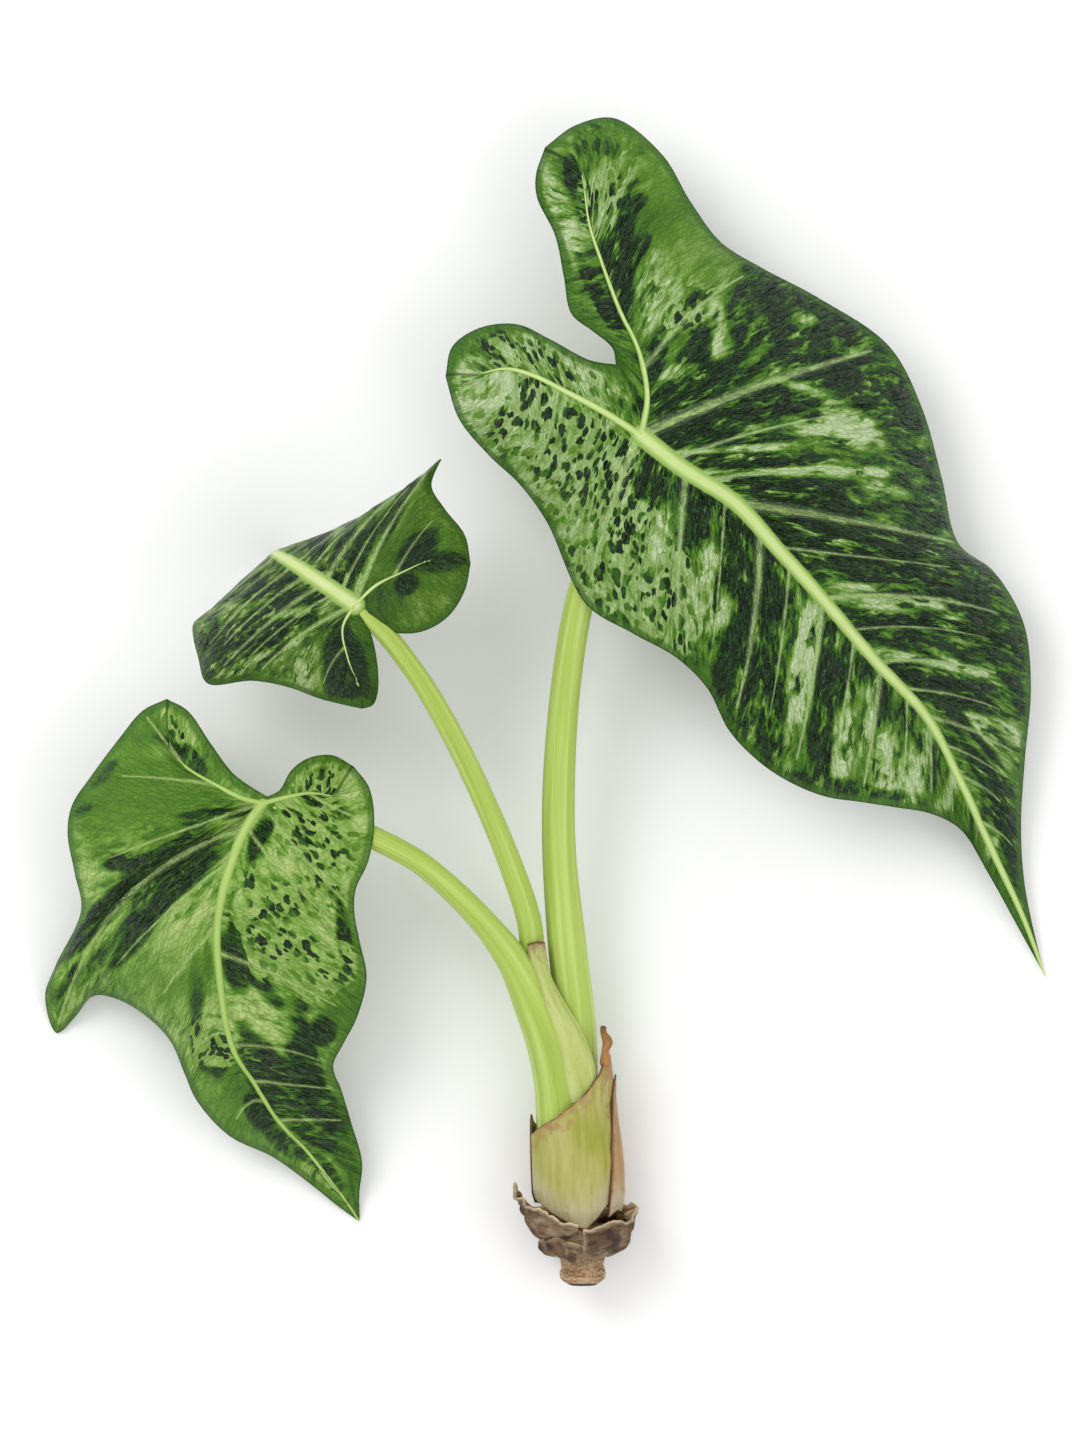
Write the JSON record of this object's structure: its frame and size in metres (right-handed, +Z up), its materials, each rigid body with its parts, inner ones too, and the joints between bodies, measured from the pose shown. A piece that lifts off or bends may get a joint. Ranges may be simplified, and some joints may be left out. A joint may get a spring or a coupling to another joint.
{
  "type": "alocasia bulb",
  "caption": "Young alocasia lying down: three marbled arrow-shaped leaves on long green stalks, a papery sheathed neck and a small scaly brown corm.",
  "frame": {"origin": "centre of the bounding box on the surface that the plant lies on", "axes": "+Y from the corm along the neck to the leaf tops, +Z up from the surface and out of the blades' upper faces, +X towards the big leaf's tip"},
  "size_m": [0.3011, 0.3493, 0.0768],
  "materials": {
    "leaf_blade": "satin leaf, marbled dark and pale green",
    "leaf_stalk": "smooth juicy stalk, satin",
    "papery_sheath": "papery, satin, brown along its edges",
    "dry_sheath": "dry, papery, matt",
    "tunic_scale": "dry, wrinkled, matt",
    "corm_skin": "corky, matt"
  },
  "bodies": {
    "root": {"big_leaf_blade": "leaf_blade", "middle_leaf_blade": "leaf_blade", "lower_leaf_blade": "leaf_blade", "big_petiole": "leaf_stalk", "middle_petiole": "leaf_stalk", "lower_petiole": "leaf_stalk", "inner_cataphyll": "dry_sheath", "outer_cataphyll": "papery_sheath", "right_sheath": "dry_sheath", "back_sheath": "dry_sheath", "left_tunic_scale": "tunic_scale", "right_tunic_scale": "tunic_scale", "left_lower_scale": "tunic_scale", "front_tunic_scale": "tunic_scale", "corm": "corm_skin"}
  },
  "joints": []
}
